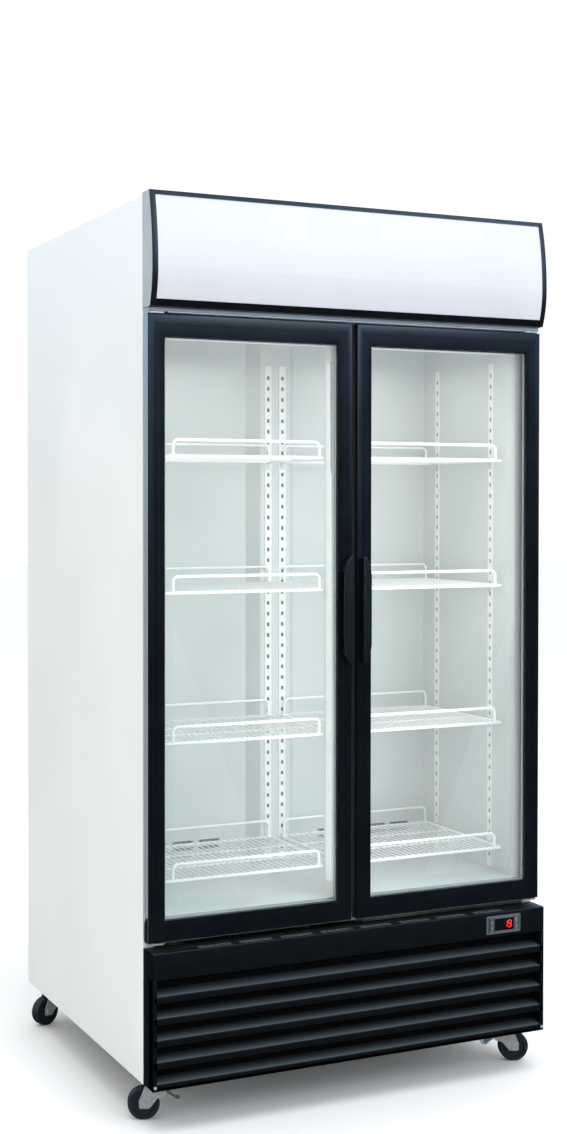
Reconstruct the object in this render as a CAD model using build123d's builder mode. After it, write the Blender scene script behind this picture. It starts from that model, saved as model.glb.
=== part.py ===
"""Upright glass door merchandiser: two swing doors, light box sign, louvred base, castors.

The frame stands on the floor at Z = 0, the doors face -Y and X runs from left to right as
seen from the front. The origin is the centre of the footprint.
"""

import os
from math import cos, radians, sin

from build123d import *

os.makedirs("parts", exist_ok=True)

# ---- Driving dimensions, millimetres ----
width = 1000
body_depth = 800
body_height = 1900
castor_height = 96
skin = 1.2
wall = 50
door_bottom = 405
door_height = 1338
door_thickness = 22
gasket_gap = 8
door_gap = 12
sign_reach = 27
sign_height = 245
sign_bottom = 1757
grille_reach = 24
grille_top = 389
opening_bottom = 452
opening_top = 1698
ceiling = 1930

# ---- Planes worked out from them ----
half = width / 2
body_bottom = castor_height
body_top = body_bottom + body_height
rear_y = (sign_reach + door_thickness + gasket_gap + body_depth) / 2
cab_y = rear_y - body_depth
door_back = cab_y - gasket_gap
door_y = door_back - door_thickness
grille_y = door_y - grille_reach
cavity_rear = rear_y - wall
inner_half = half - wall
door_top = door_bottom + door_height
deck_z = 396
liner_t = 1.5
duct_y = door_y + 430
column_y = duct_y - 30
mullion_half = 35
mullion_rear = cab_y + 54


def block(x, y, z, mode=Mode.ADD):
    """Add or cut a box given by its (low, high) pair along each axis."""
    middle = [(low + high) / 2 for low, high in (x, y, z)]
    size = [high - low for low, high in (x, y, z)]
    with Locations(tuple(middle)):
        Box(*size, mode=mode)


def rod(start, axis, length, radius, mode=Mode.ADD):
    """Add or cut a cylinder that starts at a point and runs along an axis."""
    with Locations(Plane(origin=start, z_dir=axis)):
        Cylinder(radius, length, align=(Align.CENTER, Align.CENTER, Align.MIN), mode=mode)


# ---- Outer skins: folded sheet over the foam, the sides run down past the machine space ----
for side, hand in ((-1, "left"), (1, "right")):
    with BuildPart() as side_panel:
        with BuildSketch(Plane.XY.offset(body_bottom)):
            with BuildLine():
                outer = side * half
                inner = side * (half - skin)
                lip = side * (half - 25)
                Polyline(
                    (outer, cab_y),
                    (outer, rear_y),
                    (inner, rear_y),
                    (inner, cab_y + skin),
                    (lip, cab_y + skin),
                    (lip, cab_y),
                    close=True,
                )
            make_face()
        extrude(amount=body_height)
    side_panel.part.label = f"side_panel_{hand}"
    export_step(side_panel.part, f"parts/side_panel_{hand}.step")

with BuildPart() as top_panel:
    block((-half + skin, half - skin), (cab_y + skin, rear_y - skin), (body_top - skin, body_top))
top_panel.part.label = "top_panel"
export_step(top_panel.part, "parts/top_panel.step")

rear_vent_z = (body_bottom + 60, deck_z - 60)
with BuildPart() as rear_panel:
    block((-half + skin, half - skin), (rear_y - skin, rear_y), (body_bottom + 3, body_top))
    # Vent slots let the condenser fan breathe out of the machine space
    with BuildSketch(Plane(origin=(0, rear_y, sum(rear_vent_z) / 2), x_dir=(1, 0, 0), z_dir=(0, 1, 0))):
        with GridLocations(110, 22, 8, 8):
            SlotOverall(90, 8)
    extrude(amount=-skin, mode=Mode.SUBTRACT)
rear_panel.part.label = "rear_panel"
export_step(rear_panel.part, "parts/rear_panel.step")

# ---- Insulation: one poured foam body around the cold space, open at the front ----
with BuildPart() as insulation:
    block(
        (-half + skin, half - skin),
        (cab_y + skin, rear_y - skin),
        (deck_z, body_top - skin),
    )
    block(
        (-inner_half, inner_half),
        (cab_y + wall, cavity_rear),
        (opening_bottom, ceiling),
        Mode.SUBTRACT,
    )
    block(
        (-inner_half, inner_half),
        (cab_y, cab_y + wall),
        (opening_bottom, opening_top),
        Mode.SUBTRACT,
    )
insulation.part.label = "insulation"
export_step(insulation.part, "parts/insulation.step")

# ---- Liner: white inner skin of the cold space, with the front frame the doors seal on ----
clear_half = inner_half - liner_t
with BuildPart() as liner:
    block(
        (-inner_half, inner_half),
        (cab_y + wall, cavity_rear),
        (opening_bottom, ceiling),
    )
    block(
        (-inner_half, inner_half),
        (cab_y, cab_y + wall),
        (opening_bottom, opening_top),
    )
    block((-half + 25, half - 25), (cab_y, cab_y + skin), (deck_z, sign_bottom))
    block(
        (-clear_half, clear_half),
        (cab_y + wall + liner_t, cavity_rear - liner_t),
        (opening_bottom + liner_t, ceiling - liner_t),
        Mode.SUBTRACT,
    )
    block(
        (-clear_half, clear_half),
        (cab_y, cab_y + wall + liner_t),
        (opening_bottom + liner_t, opening_top - liner_t),
        Mode.SUBTRACT,
    )
liner.part.label = "liner"
export_step(liner.part, "parts/liner.step")

# ---- Rear duct panel: hides the evaporator, folded out in the middle as a column ----
column_half = 40
column_foot = 66
floor_z = opening_bottom + liner_t
duct_top = ceiling - 60
with BuildPart() as duct_panel:
    with BuildSketch(Plane.XY.offset(floor_z)):
        with BuildLine():
            Polyline(
                (-clear_half, duct_y),
                (-column_foot, duct_y),
                (-column_half, column_y),
                (column_half, column_y),
                (column_foot, duct_y),
                (clear_half, duct_y),
                (clear_half, duct_y + skin),
                (column_foot, duct_y + skin),
                (column_half, column_y + skin),
                (-column_half, column_y + skin),
                (-column_foot, duct_y + skin),
                (-clear_half, duct_y + skin),
                close=True,
            )
        make_face()
    extrude(amount=duct_top - floor_z)
    # Return air slots low down on both sides of the column
    for x in (-270, 270):
        with BuildSketch(Plane(origin=(x, duct_y, floor_z + 45), x_dir=(1, 0, 0), z_dir=(0, -1, 0))):
            with GridLocations(70, 16, 4, 3):
                SlotOverall(56, 7)
        extrude(amount=-skin, mode=Mode.SUBTRACT)
duct_panel.part.label = "duct_panel"
export_step(duct_panel.part, "parts/duct_panel.step")

# ---- Centre mullion: both doors close on its face ----
with BuildPart() as mullion:
    block(
        (-mullion_half, mullion_half),
        (cab_y, mullion_rear),
        (floor_z, opening_top - liner_t),
    )
    fillet(mullion.edges().filter_by(Axis.Z).group_by(Axis.Y)[-1], radius=4)
    # Long grooves for the lamp bars, one on each side
    for side in (-1, 1):
        groove = sorted((side * mullion_half, side * (mullion_half - 6)))
        block(groove, (cab_y + 16, cab_y + 38), (floor_z + 30, opening_top - 40), Mode.SUBTRACT)
mullion.part.label = "mullion"
export_step(mullion.part, "parts/mullion.step")

with BuildPart() as lamp_bars:
    for side in (-1, 1):
        reach = sorted((side * (mullion_half - 6), side * (mullion_half + 3)))
        block(reach, (cab_y + 17, cab_y + 37), (floor_z + 31, opening_top - 41))
lamp_bars.part.label = "lamp_bars"
export_step(lamp_bars.part, "parts/lamp_bars.step")

# ---- Pilasters: eight slotted strips that take the shelf clips ----
strip_w = 18
strip_t = 2
slot_pitch = 26.4
slot_count = 45
strip_height = opening_top - floor_z - 24
strip_mid = floor_z + strip_height / 2 + 6
column_x = 19.5
wall_strip_y = (door_y + 128, door_y + 365)


def pilaster(plane):
    """Slotted strip whose back lies on the plane and whose face looks along its normal."""
    with BuildSketch(plane) as strip:
        Rectangle(strip_w, strip_height)
        with GridLocations(1, slot_pitch, 1, slot_count):
            Rectangle(7, 9, mode=Mode.SUBTRACT)
    extrude(strip.sketch, amount=strip_t)


with BuildPart() as pilasters:
    for x in (-column_x, column_x):
        pilaster(Plane(origin=(x, column_y, strip_mid), x_dir=(1, 0, 0), z_dir=(0, -1, 0)))
        pilaster(Plane(origin=(x, mullion_rear, strip_mid), x_dir=(1, 0, 0), z_dir=(0, 1, 0)))
    for side in (-1, 1):
        for y in wall_strip_y:
            face = (side * clear_half, y, strip_mid)
            pilaster(Plane(origin=face, x_dir=(0, 1, 0), z_dir=(-side, 0, 0)))
pilasters.part.label = "pilasters"
export_step(pilasters.part, "parts/pilasters.step")

# ---- Wire shelves: four in each bay, coated steel wire welded to a rod frame ----
shelf_levels = (518, 818, 1146, 1444)
rail_r = 3
loop_r = 3.4
wire_r = 1.4
shelf_in = 14
shelf_out = 437
notch_x = 46
loop_in = 57
shelf_front = door_y + 64
shelf_rear = column_y - 8
notch_y = mullion_rear + 12
loop_height = 36
upstand_height = 40
wire_pitch = 15


def ring(points, radius, corner):
    """Closed loop of round rod through the corner points, bent at the given radius."""
    with BuildLine() as path:
        FilletPolyline(*points, radius=corner, close=True)
    with BuildSketch(Plane(origin=path.line @ 0, z_dir=path.line % 0)) as section:
        Circle(radius)
    sweep(section.sketch, path=path.line)


with BuildPart() as shelf:
    ring(
        [
            (notch_x, shelf_front, 0),
            (shelf_out, shelf_front, 0),
            (shelf_out, shelf_rear, 0),
            (shelf_in, shelf_rear, 0),
            (shelf_in, notch_y, 0),
            (notch_x, notch_y, 0),
        ],
        rail_r,
        8,
    )
    # Front fence and rear upstand, both stand on the frame
    for low_x, y, height in ((loop_in, shelf_front, loop_height), (shelf_in + 8, shelf_rear, upstand_height)):
        fence_out = shelf_out - (20 if y == shelf_front else 6)
        with BuildLine() as path:
            FilletPolyline(
                (low_x, y, 0),
                (low_x, y, height),
                (fence_out, y, height),
                (fence_out, y, 0),
                radius=12,
            )
        with BuildSketch(Plane(origin=path.line @ 0, z_dir=path.line % 0)):
            Circle(loop_r if y == shelf_front else 2.6)
        sweep(path=path.line)
    rod((loop_in, shelf_front, 0), (1, 0, 0), shelf_out - loop_in - 8, loop_r)
    # Deck wires run front to back over two cross wires
    wire_z = rail_r + wire_r - 0.8
    wire_total = int((shelf_out - shelf_in - 2 * rail_r) // wire_pitch)
    first_x = (shelf_in + shelf_out - (wire_total - 1) * wire_pitch) / 2
    wire_xs = [first_x + index * wire_pitch for index in range(wire_total)]
    long_xs = [x for x in wire_xs if x > notch_x]
    short_xs = [x for x in wire_xs if x <= notch_x]
    for xs, start in ((long_xs, shelf_front), (short_xs, notch_y)):
        run = shelf_rear - start
        with Locations(*[Plane(origin=(x, start, wire_z), z_dir=(0, 1, 0)) for x in xs]):
            Cylinder(wire_r, run, align=(Align.CENTER, Align.CENTER, Align.MIN))
    for y in (shelf_front + 110, shelf_front + 220):
        rod((shelf_in, y, wire_z - wire_r - 1.4), (1, 0, 0), shelf_out - shelf_in, 2)

for side, hand in ((-1, "left"), (1, "right")):
    with BuildPart() as shelves:
        for level in shelf_levels:
            raised = shelf.part.moved(Location((0, 0, level)))
            add(raised if side > 0 else mirror(raised, about=Plane.YZ, mode=Mode.PRIVATE))
    shelves.part.label = f"shelves_{hand}"
    export_step(shelves.part, f"parts/shelves_{hand}.step")

# ---- Shelf clips: four bent hooks under each shelf, hooked into the pilasters ----
with BuildPart() as shelf_clips:
    for level in shelf_levels:
        seat = level - rail_r
        for side in (-1, 1):
            x = side * column_x
            tab = (x - 5, x + 5)
            ledge = (seat - 2, seat)
            plate = (seat - 16, seat)
            rear_face = column_y - strip_t
            block(tab, (rear_face - 2, rear_face), plate)
            block(tab, (rear_face - 14, rear_face), ledge)
            front_face = mullion_rear + strip_t
            block(tab, (front_face, front_face + 2), plate)
            block(tab, (front_face, front_face + 16), ledge)
            wall_face = clear_half - strip_t
            for y in wall_strip_y:
                block(sorted((side * (wall_face - 2), side * wall_face)), (y - 5, y + 5), plate)
                block(sorted((side * (wall_face - 16), side * wall_face)), (y - 5, y + 5), ledge)
shelf_clips.part.label = "shelf_clips"
export_step(shelf_clips.part, "parts/shelf_clips.step")

# ---- Base: steel tray that carries the machine and the castors ----
base_sheet = 3
with BuildPart() as base_frame:
    block(
        (-half + skin, half - skin),
        (cab_y + skin, rear_y - skin),
        (body_bottom, body_bottom + base_sheet),
    )
    for x in (-half + skin, half - skin - base_sheet):
        block((x, x + base_sheet), (cab_y + skin, rear_y - skin), (body_bottom, body_bottom + 40))
    block((-half + skin, half - skin), (cab_y + skin, cab_y + skin + base_sheet), (body_bottom, body_bottom + 25))
base_frame.part.label = "base_frame"
export_step(base_frame.part, "parts/base_frame.step")

# ---- Front grille: black moulded cover with a vented ledge, a band and five louvres ----
grille_half = half - 1
grille_bottom = body_bottom
band_bottom = 332
louvre_top = 297
louvre_pitch = 46.5
louvre_depth = 28
louvre_rise = 9
louvre_t = 2.5
lip_height = 14
grille_t = 3
with BuildPart() as front_grille:
    block((-grille_half, grille_half), (grille_y, cab_y), (grille_top - grille_t, grille_top))
    block((-grille_half, grille_half), (grille_y, grille_y + grille_t), (band_bottom, grille_top))
    for x in (-grille_half, grille_half - 9):
        block((x, x + 9), (grille_y, grille_y + 22), (grille_bottom, grille_top))
    for x in (-grille_half, grille_half - 3):
        block((x, x + 3), (grille_y, cab_y), (grille_bottom, grille_top))
    block((-grille_half, grille_half), (grille_y, grille_y + 22), (grille_bottom, grille_bottom + 8))
    # Each louvre slopes down to a lip at the front, and the air goes in over it, under the next lip
    for index in range(5):
        top = louvre_top - index * louvre_pitch
        with BuildSketch(Plane.YZ.offset(-grille_half)):
            with BuildLine():
                Polyline(
                    (grille_y, top),
                    (grille_y, top - lip_height),
                    (grille_y + louvre_t, top - lip_height),
                    (grille_y + louvre_t, top - louvre_t),
                    (grille_y + louvre_depth, top + louvre_rise - louvre_t),
                    (grille_y + louvre_depth, top + louvre_rise),
                    close=True,
                )
            make_face()
        extrude(amount=2 * grille_half)
    # Vent slots in the ledge under the doors
    with BuildSketch(Plane.XY.offset(grille_top)):
        with Locations((0, grille_y + 14)):
            with GridLocations(100, 1, 8, 1):
                SlotOverall(78, 8)
    extrude(amount=-grille_t, mode=Mode.SUBTRACT)
    controller_x = 385
    controller_z = 360
    block(
        (controller_x - 40, controller_x + 40),
        (grille_y, grille_y + grille_t),
        (controller_z - 16, controller_z + 16),
        Mode.SUBTRACT,
    )
    # Screw holes at the lower corners
    for x in (-grille_half + 5, grille_half - 5):
        rod((x, grille_y, grille_bottom + 9), (0, 1, 0), 30, 2.1, Mode.SUBTRACT)
front_grille.part.label = "front_grille"
export_step(front_grille.part, "parts/front_grille.step")

with BuildPart() as grille_screws:
    for x in (-grille_half + 5, grille_half - 5):
        rod((x, grille_y - 1.6, grille_bottom + 9), (0, 1, 0), 1.6, 3.6)
        rod((x, grille_y, grille_bottom + 9), (0, 1, 0), 18, 2.05)
grille_screws.part.label = "grille_screws"
export_step(grille_screws.part, "parts/grille_screws.step")

# ---- Controller: bezel clipped into the band, display window and three keys ----
bezel_w = 94
bezel_h = 42
bezel_front = grille_y - 2.2
key_proud = 0.8
keys = {
    "key_up": (controller_x - 33, controller_z + 7.5, 4.2),
    "key_down": (controller_x - 33, controller_z - 7.5, 4.2),
    "key_set": (controller_x + 35, controller_z - 7.5, 4.2),
}
with BuildPart() as controller_bezel:
    block(
        (controller_x - bezel_w / 2, controller_x + bezel_w / 2),
        (bezel_front, grille_y),
        (controller_z - bezel_h / 2, controller_z + bezel_h / 2),
    )
    fillet(controller_bezel.edges().filter_by(Axis.Y), radius=3)
    chamfer(controller_bezel.faces().sort_by(Axis.Y)[0].edges(), length=1)
    block(
        (controller_x - 39, controller_x + 39),
        (grille_y, grille_y + 52),
        (controller_z - 15, controller_z + 15),
    )
    block(
        (controller_x - 25.2, controller_x + 27.2),
        (bezel_front, bezel_front + 1.5),
        (controller_z - 14.2, controller_z + 14.2),
        Mode.SUBTRACT,
    )
    for x, z, key_r in keys.values():
        rod((x, bezel_front, z), (0, 1, 0), 5, key_r + 0.3, Mode.SUBTRACT)
controller_bezel.part.label = "controller_bezel"
export_step(controller_bezel.part, "parts/controller_bezel.step")

with BuildPart() as display_window:
    block(
        (controller_x - 25, controller_x + 27),
        (bezel_front + 0.2, bezel_front + 1.5),
        (controller_z - 14, controller_z + 14),
    )
    fillet(display_window.edges().filter_by(Axis.Y), radius=1.5)
display_window.part.label = "display_window"
export_step(display_window.part, "parts/display_window.step")

for name, (x, z, key_r) in keys.items():
    with BuildPart() as key:
        rod((x, bezel_front - key_proud, z), (0, 1, 0), 4, key_r)
        fillet(key.faces().sort_by(Axis.Y)[0].edges(), radius=0.4)
    key.part.label = name
    export_step(key.part, f"parts/{name}.step")

# ---- Light box sign: housing, end caps, rails, bowed panel and a light bar ----
sign_top = sign_bottom + sign_height
bulge_z = sign_bottom + 83
cap_w = 13
rail_low = 15
rail_high = 10
top_front = door_y - 8
low_front = door_y - 12
tip_y = door_y - sign_reach


def sign_outline(inset, low, high):
    """Side profile of the sign between two heights, its bowed face set back by inset."""
    upper_r = ((top_front - tip_y) ** 2 + (sign_top - bulge_z) ** 2) / (2 * (top_front - tip_y))
    lower_r = ((low_front - tip_y) ** 2 + (bulge_z - sign_bottom) ** 2) / (2 * (low_front - tip_y))

    def face_y(z):
        radius = upper_r if z > bulge_z else lower_r
        return tip_y + radius - (radius**2 - (z - bulge_z) ** 2) ** 0.5 + inset

    with BuildLine() as outline:
        if high > bulge_z > low:
            top = (face_y(high), high)
            tip = (face_y(bulge_z), bulge_z)
            foot = (face_y(low), low)
            TangentArc(tip, top, tangent=(0, 1))
            TangentArc(tip, foot, tangent=(0, -1))
        else:
            top = (face_y(high), high)
            foot = (face_y(low), low)
            ThreePointArc(top, (face_y((low + high) / 2), (low + high) / 2), foot)
        Polyline(top, (cab_y - skin, high), (cab_y - skin, low), foot)
    make_face(outline.edges())


for side, hand in ((-1, "left"), (1, "right")):
    with BuildPart() as end_cap:
        with BuildSketch(Plane.YZ.offset(half - cap_w if side > 0 else -half)):
            sign_outline(0, sign_bottom, sign_top)
        extrude(amount=cap_w)
        # The cap is a shell, open towards the lamp
        with BuildSketch(Plane.YZ.offset(half - cap_w if side > 0 else -half + 3)):
            sign_outline(8, sign_bottom + rail_low, sign_top - rail_high)
        extrude(amount=cap_w - 3, mode=Mode.SUBTRACT)
    end_cap.part.label = f"sign_end_cap_{hand}"
    export_step(end_cap.part, f"parts/sign_end_cap_{hand}.step")

span_half = half - cap_w
panel_t = 3
with BuildPart() as sign_rails:
    for low, high in ((sign_bottom, sign_bottom + rail_low), (sign_top - rail_high, sign_top)):
        with BuildSketch(Plane.YZ.offset(-span_half)):
            sign_outline(0, low, high)
            with Locations(((cab_y + top_front) / 2 + 6, (low + high) / 2)):
                Rectangle(cab_y - top_front - 8, high - low - 4, mode=Mode.SUBTRACT)
        extrude(amount=2 * span_half)
sign_rails.part.label = "sign_rails"
export_step(sign_rails.part, "parts/sign_rails.step")

with BuildPart() as sign_panel:
    with BuildSketch(Plane.YZ.offset(-span_half)):
        sign_outline(1, sign_bottom + rail_low, sign_top - rail_high)
    extrude(amount=2 * span_half)
    with BuildSketch(Plane.YZ.offset(-span_half)):
        sign_outline(1 + panel_t, sign_bottom + rail_low, sign_top - rail_high)
    extrude(amount=2 * span_half, mode=Mode.SUBTRACT)
sign_panel.part.label = "sign_panel"
export_step(sign_panel.part, "parts/sign_panel.step")

with BuildPart() as sign_housing:
    block((-half, half), (cab_y - skin, cab_y), (sign_bottom, sign_top))
sign_housing.part.label = "sign_housing"
export_step(sign_housing.part, "parts/sign_housing.step")

with BuildPart() as sign_light:
    tube_z = (sign_bottom + sign_top) / 2
    block((-440, 440), (cab_y - skin - 12, cab_y - skin), (tube_z - 14, tube_z + 14))
    rod((-430, cab_y - skin - 16, tube_z), (1, 0, 0), 860, 8)
sign_light.part.label = "sign_light"
export_step(sign_light.part, "parts/sign_light.step")

# ---- Header strip between the doors and the sign ----
bracket_t = 3
bracket_low = door_top + 1.5
header_low = bracket_low + bracket_t + 0.5
with BuildPart() as header_strip:
    block((-half + 2, half - 2), (door_y + 3, cab_y), (header_low, sign_bottom))
header_strip.part.label = "header_strip"
export_step(header_strip.part, "parts/header_strip.step")

# ---- Hinges: a plated bracket with a fixed pin above and below each door ----
pivot_x = half - 12
pivot_y = door_y + 11
pin_r = 5
pin_reach = 22
plate_corner = 8
with BuildPart() as hinge_brackets_top:
    for side in (-1, 1):
        plate_x = sorted((side * (half - 2), side * (half - 42)))
        block(plate_x, (pivot_y - 9, cab_y), (bracket_low, bracket_low + bracket_t))
    fillet(hinge_brackets_top.edges().filter_by(Axis.Z).group_by(Axis.Y)[0], radius=plate_corner)
    for side in (-1, 1):
        rod((side * pivot_x, pivot_y, bracket_low - pin_reach), (0, 0, 1), pin_reach, pin_r)
hinge_brackets_top.part.label = "hinge_brackets_top"
export_step(hinge_brackets_top.part, "parts/hinge_brackets_top.step")

with BuildPart() as hinge_brackets_bottom:
    for side in (-1, 1):
        plate_top = door_bottom - 2
        plate_x = sorted((side * (half - 2), side * (half - 42)))
        block(plate_x, (pivot_y - 9, cab_y), (plate_top - bracket_t, plate_top))
    fillet(hinge_brackets_bottom.edges().filter_by(Axis.Z).group_by(Axis.Y)[0], radius=plate_corner)
    for side in (-1, 1):
        rod((side * pivot_x, pivot_y, plate_top), (0, 0, 1), pin_reach, pin_r)
hinge_brackets_bottom.part.label = "hinge_brackets_bottom"
export_step(hinge_brackets_bottom.part, "parts/hinge_brackets_bottom.step")

# ---- Doors: black frame, double glazing on a spacer, gasket and lip handle ----
hinge_stile = 39
handle_stile = 37
top_rail = 48
bottom_rail = 46
glass_edge = 9
pane_t = 4
pane_low = 3
pane_high = 19
handle_w = 21
handle_reach = 18
handle_z = 1102
handle_height = 242

for side, hand in ((-1, "left"), (1, "right")):
    outer_x = side * half
    inner_x = side * door_gap / 2
    door_x = sorted((outer_x, inner_x))
    glass_x = sorted((outer_x - side * hinge_stile, inner_x + side * handle_stile))
    glass_z = (door_bottom + bottom_rail, door_top - top_rail)

    with BuildPart() as door_frame:
        block(door_x, (door_y, door_back), (door_bottom, door_top))
        fillet(door_frame.edges().filter_by(Axis.Z).group_by(Axis.Y)[0], radius=3)
        block(glass_x, (door_y, door_back), glass_z, Mode.SUBTRACT)
        block(
            (glass_x[0] - glass_edge, glass_x[1] + glass_edge),
            (door_y + pane_low, door_y + pane_high),
            (glass_z[0] - glass_edge, glass_z[1] + glass_edge),
            Mode.SUBTRACT,
        )
        # Bores for the hinge pins, a running fit
        pin_z = door_bottom - 2 + pin_reach + 2
        rod((side * pivot_x, pivot_y, door_bottom), (0, 0, 1), pin_z - door_bottom, pin_r + 0.05, Mode.SUBTRACT)
        rod((side * pivot_x, pivot_y, door_top), (0, 0, -1), pin_z - door_bottom, pin_r + 0.05, Mode.SUBTRACT)
    door_frame.part.label = f"door_frame_{hand}"
    export_step(door_frame.part, f"parts/door_frame_{hand}.step")

    pane_x = (glass_x[0] - glass_edge + 1, glass_x[1] + glass_edge - 1)
    pane_z = (glass_z[0] - glass_edge + 1, glass_z[1] + glass_edge - 1)
    with BuildPart() as glass_panes:
        block(pane_x, (door_y + pane_low, door_y + pane_low + pane_t), pane_z)
        block(pane_x, (door_y + pane_high - pane_t, door_y + pane_high), pane_z)
    glass_panes.part.label = f"glass_panes_{hand}"
    export_step(glass_panes.part, f"parts/glass_panes_{hand}.step")

    spacer_y = (door_y + pane_low + pane_t, door_y + pane_high - pane_t)
    with BuildPart() as glass_spacer:
        block((pane_x[0] + 2, pane_x[1] - 2), spacer_y, (pane_z[0] + 2, pane_z[1] - 2))
        block((pane_x[0] + 10, pane_x[1] - 10), spacer_y, (pane_z[0] + 10, pane_z[1] - 10), Mode.SUBTRACT)
    glass_spacer.part.label = f"glass_spacer_{hand}"
    export_step(glass_spacer.part, f"parts/glass_spacer_{hand}.step")

    seal_x = sorted((outer_x - side * 16, inner_x + side * 2))
    seal_z = (door_bottom + 12, door_top - 12)
    seal_y = (door_back, cab_y - 0.3)
    seal_w = 14
    with BuildPart() as gasket:
        block(seal_x, seal_y, seal_z)
        block(
            (seal_x[0] + seal_w, seal_x[1] - seal_w),
            seal_y,
            (seal_z[0] + seal_w, seal_z[1] - seal_w),
            Mode.SUBTRACT,
        )
    gasket.part.label = f"gasket_{hand}"
    export_step(gasket.part, f"parts/gasket_{hand}.step")

    # The handle is a lip: a wall beside the gap and a curved face that hooks over the fingers
    handle_x = inner_x + side * 8
    with BuildPart() as handle:
        with BuildSketch(Plane(origin=(handle_x, door_y, handle_z), x_dir=(side, 0, 0), z_dir=(0, -1, 0))):
            with BuildLine():
                rise = handle_height / 2
                Line((0, -rise), (0, rise))
                FilletPolyline(
                    (0, rise),
                    (handle_w * 0.55, rise * 0.9),
                    (handle_w, rise * 0.55),
                    (handle_w, -rise * 0.55),
                    (handle_w * 0.55, -rise * 0.9),
                    (0, -rise),
                    radius=18,
                )
            make_face()
        extrude(amount=handle_reach)
        pocket = sorted((handle_x + side * 5, handle_x + side * (handle_w + 1)))
        block(
            pocket,
            (door_y - handle_reach + 4, door_y),
            (handle_z - rise * 0.72, handle_z + rise * 0.72),
            Mode.SUBTRACT,
        )
        rim = handle.faces().sort_by(Axis.Y)[0].edges()
        chamfer(rim, length=1.5)
    handle.part.label = f"handle_{hand}"
    export_step(handle.part, f"parts/handle_{hand}.step")

# ---- Castors: plate and kingpin on the base, fork with riveted axle, wheel, front brakes ----
wheel_r = 35
wheel_w = 24
axle_r = 4
trail = 28
castor_x = 450
castor_front = door_y + 76
castor_rear = rear_y - 55
king_r = 6
castors = {
    "front_left": (-castor_x, castor_front, 160),
    "front_right": (castor_x, castor_front, -20),
    "rear_left": (-castor_x, castor_rear, 200),
    "rear_right": (castor_x, castor_rear, 140),
}

with BuildPart() as castor_plates:
    for x, y, turn in castors.values():
        block((x - 40, x + 40), (y - 33, y + 33), (castor_height - 3, castor_height))
        rod((x, y, castor_height - 3 - 7), (0, 0, 1), 7, 16)
        rod((x, y, 77), (0, 0, 1), castor_height - 80, king_r)
        rod((x, y, 75), (0, 0, 1), 2, 9)
castor_plates.part.label = "castor_plates"
export_step(castor_plates.part, "parts/castor_plates.step")

fork_low = 80
fork_high = 83
leg_in = wheel_w / 2 + 1.5
leg_out = leg_in + 2.5


def turned(part, x, y, turn):
    """A castor piece, drawn with its trail along +X, put in place under the base."""
    return part.moved(Location((x, y, 0), (0, 0, turn)))


with BuildPart() as fork:
    block((-22, 22), (-leg_out, leg_out), (fork_low, fork_high))
    for side in (-1, 1):
        with BuildSketch(Plane.XZ.offset(leg_in if side < 0 else -leg_out)):
            with BuildLine():
                FilletPolyline(
                    (-22, fork_high),
                    (-20, 52),
                    (-2, 48),
                    (trail - 12, wheel_r - 9),
                    (trail + 10, wheel_r - 9),
                    (trail + 11, wheel_r + 8),
                    (22, fork_high),
                    radius=4,
                )
                Line((22, fork_high), (-22, fork_high))
            make_face()
        extrude(amount=2.5)
    rod((0, 0, fork_low - 1), (0, 0, 1), 8, king_r + 0.05, Mode.SUBTRACT)
    rod((trail, -leg_out - 3, wheel_r), (0, 1, 0), 2 * leg_out + 6, axle_r)
    for y in (-leg_out - 3, leg_out):
        rod((trail, y, wheel_r), (0, 1, 0), 3, 6.5)
    # The brake pin is riveted across the leading side of the fork
    rod((-10, -leg_out - 2, 58), (0, 1, 0), 2 * leg_out + 4, 2.5)

with BuildPart() as wheel:
    rod((trail, -wheel_w / 2, wheel_r), (0, 1, 0), wheel_w, wheel_r)
    fillet(wheel.edges().filter_by(GeomType.CIRCLE), radius=3)
    for y in (-wheel_w / 2, wheel_w / 2 - 4):
        rod((trail, y, wheel_r), (0, 1, 0), 4, wheel_r - 9, Mode.SUBTRACT)
        rod((trail, y, wheel_r), (0, 1, 0), 4, 10)
    rod((trail, -wheel_w / 2, wheel_r), (0, 1, 0), wheel_w, axle_r + 0.05, Mode.SUBTRACT)

with BuildPart() as brake:
    with BuildSketch(Plane.XZ.offset(-(leg_in - 1.5))):
        with BuildLine():
            Polyline(
                (-10, 61.5),
                (-24, 58),
                (-42, 44),
                (-50, 45),
                (-50, 42.5),
                (-41, 41),
                (-22, 54.5),
                (-10, 54.5),
                close=True,
            )
        make_face()
    extrude(amount=2 * (leg_in - 1.5))
    rod((-10, -(leg_in - 1.5), 58), (0, 1, 0), 2 * (leg_in - 1.5), 4.5)
    rod((-10, -(leg_in - 1.5), 58), (0, 1, 0), 2 * (leg_in - 1.5), 2.55, Mode.SUBTRACT)

for name, (x, y, turn) in castors.items():
    with BuildPart() as castor_fork:
        add(turned(fork.part, x, y, turn))
    castor_fork.part.label = f"castor_fork_{name}"
    export_step(castor_fork.part, f"parts/castor_fork_{name}.step")

    with BuildPart() as castor_wheel:
        add(turned(wheel.part, x, y, turn))
    castor_wheel.part.label = f"castor_wheel_{name}"
    export_step(castor_wheel.part, f"parts/castor_wheel_{name}.step")

    if name.startswith("front"):
        with BuildPart() as castor_brake:
            add(turned(brake.part, x, y, turn))
        castor_brake.part.label = f"castor_brake_{name}"
        export_step(castor_brake.part, f"parts/castor_brake_{name}.step")


# ---- Fans: a hub with pitched blades that turns on a motor shaft ----
blade_pitch = radians(28)


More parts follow.
